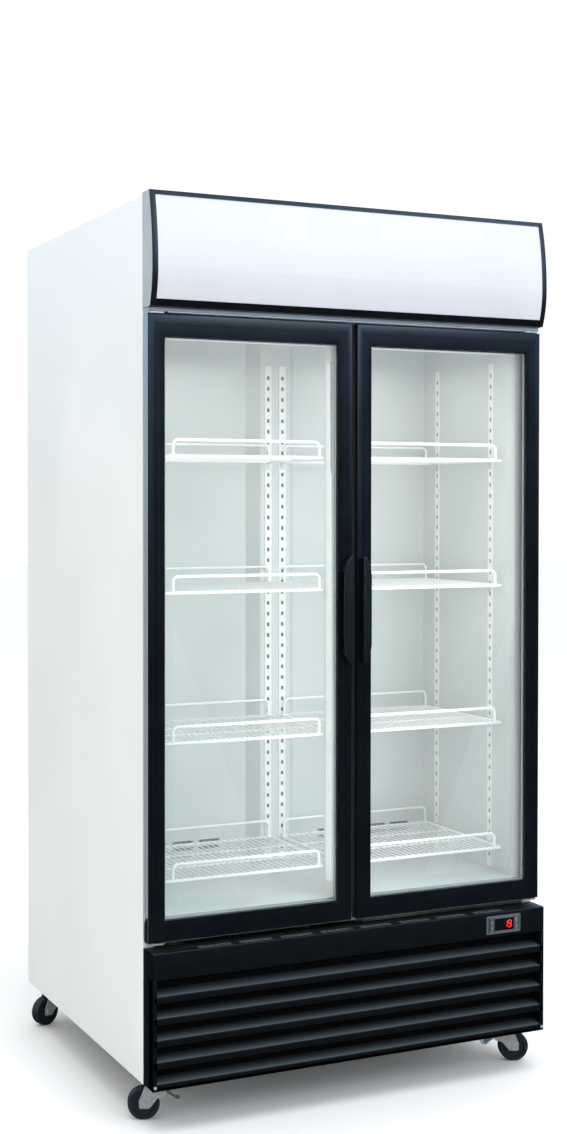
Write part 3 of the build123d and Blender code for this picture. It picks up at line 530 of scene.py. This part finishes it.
# Sealed units: two panes of float glass on an aluminium spacer. Float glass is nearly colourless
# face on, and lamps shine straight through it.
glass, tree, shader, place = start_finish(
    "float_glass", "#FDFFFE", 0.0, Transmission_Weight=1.0, IOR=1.5
)
ray = add_node(tree, "ShaderNodeLightPath")
clear = add_node(tree, "ShaderNodeBsdfTransparent", {"Color": linear("#FBFEFD")})
through = add_node(
    tree,
    "ShaderNodeMixShader",
    links={0: ray.outputs["Is Shadow Ray"], 1: shader.outputs["BSDF"], 2: clear.outputs["BSDF"]},
)
tree.links.new(through.outputs["Shader"], tree.nodes["Material Output"].inputs["Surface"])
dress(glass, "glass_panes_left", "glass_panes_right")
dress(anodised, "glass_spacer_left", "glass_spacer_right")

# ---- Light box sign ----
# Black anodised rails with moulded end caps hold a bowed opal sheet in front of a lamp. The caps
# are grey on their outer side and black along the front edge.
sign_low, sign_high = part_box("sign_end_cap_left")
sign_z = (sign_low.z, sign_high.z)
bulge_z, tip_y = sign_low.z + 83 * mm, sign_low.y
top_front, low_front = door_y - 8 * mm, door_y - 12 * mm


def bowed(z):
    """How far forward the bowed face of the sign stands at a height."""
    edge_y, edge_z = (top_front, sign_z[1]) if z > bulge_z else (low_front, sign_z[0])
    radius = ((edge_y - tip_y) ** 2 + (edge_z - bulge_z) ** 2) / (2 * (edge_y - tip_y))
    return tip_y + radius - sqrt(radius**2 - (z - bulge_z) ** 2)


cap_grey, tree, shader, place = start_finish("grey_abs_side", "#A8AFB0", 0.42)
spark = grain(tree, place, 1.4)
tree.links.new(shades(tree, grain(tree, place, 90), "#A1A8A9", "#AFB6B6"), shader.inputs["Base Color"])
relief(tree, shader, spark, 0.05, 0.4)
cap_w = sign_high.x - sign_low.x
steps = 28
for side, hand in ((-1, "left"), (1, "right")):
    shell = bmesh.new()
    heights = [sign_z[0] + (sign_z[1] - sign_z[0]) * i / steps for i in range(steps + 1)]
    # (mm in from the outer side, mm the front is set back; None is the rear edge)
    rows = [(0, None), (0, 2.0), (0.25, 1.1), (0.9, 0.35), (2.0, 0)]
    rows += [(cap_w / mm - 1, 0), (cap_w / mm, 0.8)]
    rings = []
    for across, back in rows:
        x = side * (half_width - across * mm)
        y_of = (lambda z: cab_y) if back is None else (lambda z, back=back: bowed(z) + back * mm)
        rings.append([shell.verts.new((x, y_of(z), z)) for z in heights])
    inner_x = side * (half_width - cap_w)
    rings.append([shell.verts.new((inner_x, cab_y, z)) for z in heights])
    for index, (ring, after) in enumerate(zip(rings, rings[1:])):
        for i in range(steps):
            face = shell.faces.new((ring[i], ring[i + 1], after[i + 1], after[i]))
            face.material_index = 1 if index == 0 else 0
    for i in (0, steps):
        shell.faces.new([ring[i] for ring in rings])
    for i in range(steps):
        shell.faces.new((rings[-1][i], rings[-1][i + 1], rings[0][i + 1], rings[0][i]))
    finishes = [abs_black, cap_grey]
    end_cap = piece(shell, f"sign_end_cap_{hand}_moulded", "cabinet", finishes)
    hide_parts(f"sign_end_cap_{hand}")
dress(gloss_black, "sign_rails")

# Opal acrylic sheet, cast and bent cold into the rails: milk white, with a soft gloss.
acrylic, tree, shader, place = start_finish(
    "opal_acrylic_sheet", "#C6C8CE", 0.34, Emission_Color=linear("#F4F6FA"), Emission_Strength=0.01
)
tree.links.new(shades(tree, grain(tree, place, 300), "#C3C6CC", "#C9CBD1"), shader.inputs["Base Color"])
relief(tree, shader, grain(tree, place, 40), 0.05, 0.2)
dress(acrylic, "sign_panel")

# ---- Base grille ----
# One moulded ABS cover: a ledge with vent slots, a plain band, and five sloped louvres that each
# end in an upright lip. The slopes are spark eroded, and their colour is painted light: a grey as if
# lit from above, lightest at the front edge and fading to painted shade under the louvre above.
# The upright faces are polished in the mould and stay black.
grille_low, grille_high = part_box("front_grille")
front_y, sheet = grille_low.y, 3 * mm
band_low, louvre_top, louvre_pitch = 332 * mm, 297 * mm, 46.5 * mm
lip, slope_depth, slope_rise, louvre_t = 14 * mm, 28 * mm, 9 * mm, 2.5 * mm
textured_painted_light, tree, shader, place = start_finish("spark_textured_abs_painted_light", "#4A5457", 0.62)
pebble = grain(tree, place, 1.3)
depth = add_node(tree, "ShaderNodeSeparateXYZ", links={"Vector": place}).outputs["Y"]
slope_ends = {"From Min": front_y, "From Max": front_y + slope_depth}
painted_shade_inward = add_node(tree, "ShaderNodeMapRange", slope_ends, {"Value": depth}).outputs["Result"]
# Painted light and shade: lit grey at the front edge, darkening to near black towards the rear.
tree.links.new(shades(tree, painted_shade_inward, "#4A5457", "#0C0F10", 0.1, 0.85), shader.inputs["Base Color"])
rough_range(tree, shader, pebble, 0.55, 0.7)
relief(tree, shader, pebble, 0.12, 0.6)
polished, tree, shader, place = start_finish(
    "mould_polished_black_abs", "#08090B", 0.42, Specular_IOR_Level=0.2
)
tree.links.new(shades(tree, grain(tree, place, 30), "#060708", "#0A0C0D"), shader.inputs["Base Color"])
relief(tree, shader, grain(tree, place, 1.5), 0.03, 0.3)
shell = bmesh.new()
x_low, x_high, top_z = grille_low.x, grille_high.x, grille_high.z


def arc(middle_y, middle_z, radius, first, span, steps):
    """Points (y, z) along an arc, its angles in degrees."""
    angles = [radians(first + span * step / steps) for step in range(steps + 1)]
    return [(middle_y + radius * cos(angle), middle_z + radius * sin(angle)) for angle in angles]


bend = 2.5 * mm
corner = arc(front_y + bend, top_z - bend, bend, 90, 90, 5)


def ledge(rear_y):
    """Bent sheet outline: the band and the part of the ledge as far back as rear_y."""
    return [
        (rear_y, top_z),
        *corner,
        (front_y, band_low + 0.8 * mm),
        (front_y + 0.8 * mm, band_low),
        (front_y + sheet, band_low),
        (front_y + sheet, top_z - sheet),
        (rear_y, top_z - sheet),
    ]


slot_y, slot_half = (front_y + 10 * mm, front_y + 18 * mm), 39 * mm
slot_xs = [(-350 + 100 * index) * mm for index in range(8)]
edges = [x_low] + [x + end * slot_half for x in slot_xs for end in (-1, 1)] + [x_high]
for index, ends in enumerate(zip(edges, edges[1:])):
    if index % 2:
        bar(shell, ledge(slot_y[0]), ends)
        rear_top = [(grille_high.y, top_z), (slot_y[1], top_z)]
        bar(shell, rear_top + [(y, z - sheet) for y, z in rear_top[::-1]], ends)
    else:
        bar(shell, ledge(grille_high.y), ends)
nose = 1.5 * mm
for index in range(5):
    top = louvre_top - index * louvre_pitch
    bowl = [
        (front_y + slope_depth * share, top + slope_rise * share**1.5)
        for share in (1, 0.8, 0.6, 0.4, 0.2)
    ]
    under = [
        (front_y + 0.6 * mm, top - lip),
        (front_y + louvre_t, top - lip),
        (front_y + louvre_t, top - louvre_t),
        (front_y + slope_depth * 0.6, top + slope_rise * 0.46 - louvre_t),
        (front_y + slope_depth, top + slope_rise - louvre_t),
    ]
    front = arc(front_y + nose, top - nose, nose, 100, 80, 4)
    front.append((front_y, top - lip + 0.6 * mm))
    bar(shell, bowl + front + under, (x_low + sheet, x_high - sheet))
post_w, post_depth, foot_h, edge_r = 9 * mm, 22 * mm, 8 * mm, 1 * mm
post_shape = rounded((front_y, grille_low.z), (front_y + post_depth, band_low), edge_r)
cheek_shape = rounded((front_y + 1 * mm, grille_low.z), (grille_high.y, top_z - 0.5 * mm), edge_r)
for side in (-1, 1):
    bar(shell, post_shape, sorted((side * x_high, side * (x_high - post_w))))
    bar(shell, cheek_shape, sorted((side * x_high, side * (x_high - sheet))))
foot_shape = rounded((front_y, grille_low.z), (front_y + post_depth, grille_low.z + foot_h), edge_r)
bar(shell, foot_shape, (x_low, x_high))
# The level and sloped faces below the band, mainly the louvre slopes, get the texture and the painted
# light.
shell.normal_update()
for face in shell.faces:
    middle = face.calc_center_median()
    if middle.z < band_low - 10 * mm and front_y + 3 * mm < middle.y and abs(face.normal.z) > 0.5:
        face.material_index = 1
grille = piece(shell, "front_grille_louvred", "cabinet", [polished, textured_painted_light])
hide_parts("front_grille")
dress(zinc, "grille_screws")

# Thin pale lines along the long edges of the vent slots are painted highlights, where the edges catch
# the light.
painted_highlight_edge, tree, shader, place = start_finish("painted_highlight_slot_edge", "#8A9496", 0.4)
tree.links.new(shades(tree, grain(tree, place, 9), "#5C6668", "#A4ACAD"), shader.inputs["Base Color"])
shell = bmesh.new()
for x in slot_xs:
    for y in (slot_y[0] - 1.1 * mm, slot_y[1] + 0.1 * mm):
        rim = rounded((y, top_z - 0.4 * mm), (y + 1.0 * mm, top_z + 0.3 * mm), 0.3 * mm)
        bar(shell, rim, (x - slot_half, x + slot_half))
piece(shell, "grille_slot_edges", "cabinet", [painted_highlight_edge])

# A sheet of black open foam hangs behind the louvres as painted shade: it stands for the dark
# machine space, so nothing of the machine shows through the slits. Its pores are drawn at 4 mm,
# coarser than real foam, so that they show.
pore_foam, tree, shader, place = start_finish(
    "open_pore_black_foam", "#050607", 0.95, Specular_IOR_Level=0.05
)
pores = add_node(tree, "ShaderNodeTexVoronoi", {"Scale": 1000 / 4}, {"Vector": place})
pores = pores.outputs["Distance"]
tree.links.new(shades(tree, pores, "#020202", "#0B0C0D", 0.1, 0.7), shader.inputs["Base Color"])
relief(tree, shader, pores, 1.0, 0.8)
screen_y = front_y + slope_depth + 4 * mm
shell = bmesh.new()
screen_shape = rounded((screen_y, grille_low.z + 10 * mm), (screen_y + 8 * mm, top_z - 6 * mm), 2 * mm)
bar(shell, screen_shape, (x_low + 5 * mm, x_high - 5 * mm))
piece(shell, "grille_painted_shade_screen", "cabinet", [pore_foam])

# ---- Controller ----
# Clip-in electronic thermostat: grey ABS bezel with a raised rim, a dark face, a smoked window and
# rubbery keys. The digits are red LED segments behind the window.
bezel_grey, tree, shader, place = start_finish("grey_abs_bezel", "#4F575A", 0.42)
tree.links.new(shades(tree, grain(tree, place, 1.5), "#485053", "#565E61"), shader.inputs["Base Color"])
relief(tree, shader, grain(tree, place, 1.1), 0.05, 0.4)
dress(bezel_grey, "controller_bezel")
face_grey, tree, shader, place = start_finish("printed_polyester_face", "#23282B", 0.38)
tree.links.new(shades(tree, grain(tree, place, 8), "#202528", "#282D30"), shader.inputs["Base Color"])
smoked, tree, shader, place = start_finish("smoked_acrylic_window", "#0B0C0E", 0.1)
tree.links.new(shades(tree, grain(tree, place, 14), "#0A0B0D", "#0E0F11"), shader.inputs["Base Color"])
dress(smoked, "display_window")
legend, tree, shader, place = start_finish("screen_printed_legend", "#A9B0B2", 0.5)
tree.links.new(shades(tree, grain(tree, place, 2), "#9FA6A8", "#B4BABC"), shader.inputs["Base Color"])
key_finish, tree, shader, place = start_finish("silicone_key_top", "#3A4144", 0.55)
tree.links.new(shades(tree, grain(tree, place, 1.5), "#353B3E", "#41484B"), shader.inputs["Base Color"])
dress(key_finish, "key_up", "key_down", "key_set")
led_red, tree, shader, place = start_finish(
    "lit_red_led_segment", "#FF2020", 0.4, Emission_Color=linear("#FF1A14"), Emission_Strength=2.2
)
tree.links.new(shades(tree, grain(tree, place, 3), "#F01818", "#FF3028"), shader.inputs["Base Color"])

bezel_low, bezel_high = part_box("controller_bezel")
window_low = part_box("display_window")[0]
centre = Vector(((bezel_low.x + bezel_high.x) / 2, bezel_low.y, (bezel_low.z + bezel_high.z) / 2))


def plate(shell, points, front, depth):
    """Thin flat plate: points (x, z) round the controller's centre, its face at front."""
    rings = [
        [shell.verts.new((centre.x + x * mm, y, centre.z + z * mm)) for x, z in points]
        for y in (front, front + depth)
    ]
    for i in range(len(points)):
        beyond = (i + 1) % len(points)
        shell.faces.new((rings[0][i], rings[0][beyond], rings[1][beyond], rings[1][i]))
    shell.faces.new(rings[0])
    shell.faces.new(rings[1])


shell = bmesh.new()
for x in ((-42.5, -38.2), (-27.8, -25.6), (27.6, 29.8), (40.2, 42.5)):
    plate(shell, rounded((x[0], -17), (x[1], 17), 0.4), centre.y - 0.15 * mm, 0.2 * mm)
piece(shell, "controller_face_strips", "cabinet", [face_grey])

# Ends of the lit segments of the two digits, in millimetres from each digit's middle
segments = {
    "a": ((-3.4, 7.6), (3.4, 7.6)),
    "b": ((4.2, 6.8), (4.2, 0.8)),
    "c": ((4.2, -0.8), (4.2, -6.8)),
    "d": ((-3.4, -7.6), (3.4, -7.6)),
    "f": ((-4.2, 6.8), (-4.2, 0.8)),
    "g": ((-3.4, 0), (3.4, 0)),
}
half_stroke = 0.9
shell = bmesh.new()
for digit_x, lit in ((5.5, "bc"), (16.5, "abcdfg")):
    for letter in lit:
        (x0, z0), (x1, z1) = segments[letter]
        along = Vector((x1 - x0, z1 - z0)).normalized()
        across, point = Vector((-along.y, along.x)) * half_stroke, along * half_stroke
        start, end = Vector((x0 + digit_x, z0)), Vector((x1 + digit_x, z1))
        points = [start, start + point + across, end - point + across, end]
        points += [end - point - across, start + point - across]
        plate(shell, [tuple(p) for p in points], window_low.y - 0.12 * mm, 0.2 * mm)
piece(shell, "display_digits", "cabinet", [led_red])

# Printed marks: an arrow on two keys, a square on the third and a broken ring on the bezel
mark_proud, mark_t, half_line = 0.02 * mm, 0.1 * mm, 0.35
for key, sense in (("key_up", 1), ("key_down", -1)):
    key_low, key_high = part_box(key)
    x = ((key_low.x + key_high.x) / 2 - centre.x) / mm
    z = ((key_low.z + key_high.z) / 2 - centre.z) / mm
    shell = bmesh.new()
    arrow = [(x - 1.9, z - sense * 1.3), (x + 1.9, z - sense * 1.3), (x, z + sense * 1.9)]
    plate(shell, arrow, key_low.y - mark_proud, mark_t)
    piece(shell, f"{key}_arrow", key, [legend])
key_low, key_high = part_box("key_set")
x = ((key_low.x + key_high.x) / 2 - centre.x) / mm
z = ((key_low.z + key_high.z) / 2 - centre.z) / mm
shell = bmesh.new()
square = [(x + a, z + b) for a, b in ((-2, -2), (2, -2), (2, 2), (-2, 2))]
for i in range(4):
    (x0, z0), (x1, z1) = square[i], square[(i + 1) % 4]
    low_x, low_z = min(x0, x1) - half_line, min(z0, z1) - half_line
    high_x, high_z = max(x0, x1) + half_line, max(z0, z1) + half_line
    line = [(low_x, low_z), (high_x, low_z), (high_x, high_z), (low_x, high_z)]
    plate(shell, line, key_low.y - mark_proud, mark_t)
piece(shell, "key_set_mark", "key_set", [legend])
shell = bmesh.new()
ring_x, ring_z, ring_in, ring_out = 35, 8, 2.1, 3.0
for start in range(30, 301, 30):
    a0, a1 = radians(start), radians(start + 26)
    dash = ((ring_in, a0), (ring_out, a0), (ring_out, a1), (ring_in, a1))
    points = [(ring_x + r * cos(a), ring_z + r * sin(a)) for r, a in dash]
    plate(shell, points, centre.y - 0.12 * mm, 0.15 * mm)
piece(shell, "controller_mark", "cabinet", [legend])

# ---- Studio ----
# Pale matt floor, even white surround and soft lamps. Mirror rays see something else: a dark floor
# and a dome that runs from near black at the horizon to pale blue above, so that gloss black keeps
# its depth and looks navy towards the top.


def mirror_rays(tree):
    """1 for rays bounced off a glossy surface, 0 for the rest and for rays through glass."""
    ray = add_node(tree, "ShaderNodeLightPath").outputs
    both = {0: ray["Is Glossy Ray"], 1: ray["Is Transmission Ray"]}
    settings = {"operation": "SUBTRACT", "use_clamp": True}
    return add_node(tree, "ShaderNodeMath", settings, both).outputs["Value"]


scene = bpy.context.scene
scene.view_settings.view_transform = "Standard"
bpy.ops.mesh.primitive_plane_add(size=60, location=(0, 0, 0))
floor = bpy.context.object
floor.name = "studio_floor"
paper, tree, shader, place = start_finish("matt_pale_floor", "#F7F7F6", 0.85, Specular_IOR_Level=0.1)
shade = add_node(tree, "ShaderNodeBsdfDiffuse", {"Color": linear("#2A2E32")})
two_tone = add_node(
    tree,
    "ShaderNodeMixShader",
    links={0: mirror_rays(tree), 1: shader.outputs["BSDF"], 2: shade.outputs["BSDF"]},
)
tree.links.new(two_tone.outputs["Shader"], tree.nodes["Material Output"].inputs["Surface"])
floor.data.materials.append(paper)

world = bpy.data.worlds.new("studio_world")
scene.world = world
world.use_nodes = True
tree = world.node_tree
even = tree.nodes["Background"]
even.inputs["Color"].default_value = linear("#FFFFFF")
even.inputs["Strength"].default_value = 1.06
outward = add_node(tree, "ShaderNodeTexCoord").outputs["Generated"]
height = add_node(tree, "ShaderNodeSeparateXYZ", links={"Vector": outward})
dome = add_node(
    tree,
    "ShaderNodeBackground",
    {"Strength": 3.0},
    {"Color": shades(tree, height.outputs["Z"], "#171C21", "#86AFD2", -0.06, 0.3)},
)
both = add_node(
    tree,
    "ShaderNodeMixShader",
    links={0: mirror_rays(tree), 1: even.outputs["Background"], 2: dome.outputs["Background"]},
)
tree.links.new(both.outputs["Shader"], tree.nodes["World Output"].inputs["Surface"])


def softbox(name, at, towards, size, power, colour="#FFFFFF"):
    """Soft rectangular light of that power in watts."""
    lamp = bpy.data.lights.new(name, "AREA")
    lamp.shape, lamp.size, lamp.size_y = "RECTANGLE", size[0], size[1]
    lamp.energy = power
    lamp.color = linear(colour)[:3]
    holder = bpy.data.objects.new(name, lamp)
    scene.collection.objects.link(holder)
    holder.location = at
    holder.rotation_euler = (Vector(towards) - Vector(at)).to_track_quat("-Z", "Y").to_euler()
    holder.visible_camera = holder.visible_transmission = False


softbox("front_softbox", (2.6, -5.2, 4.0), (0, 0, 1.2), (3.0, 2.0), 90, "#DCE9FF")
softbox("top_softbox", (0, -1.0, 4.6), (0, -0.2, 0), (4, 3), 90)
# Hidden lamps fill each bay: one under the ceiling and one upright behind the door.
for side in (-1, 1):
    softbox("bay_lamp", (side * 0.24, -0.14, 1.685), (side * 0.24, -0.1, 0.5), (0.24, 0.2), 0.25)
    at, towards = (side * 0.235, -0.372, 1.08), (side * 0.26, 0.1, 1.07)
    softbox("door_side_lamp", at, towards, (0.4, 1.2), 1.3 + side * 0.2)

camera = bpy.data.objects.new("camera", bpy.data.cameras.new("camera"))
scene.collection.objects.link(camera)
camera.location = (-1.7501, -3.4787, 1.3363)
camera.rotation_euler = (radians(90 - 0.95), 0, radians(-23.64))
camera.data.lens = 49.88
camera.data.shift_x, camera.data.shift_y = 0.08245, -0.0311
scene.camera = camera
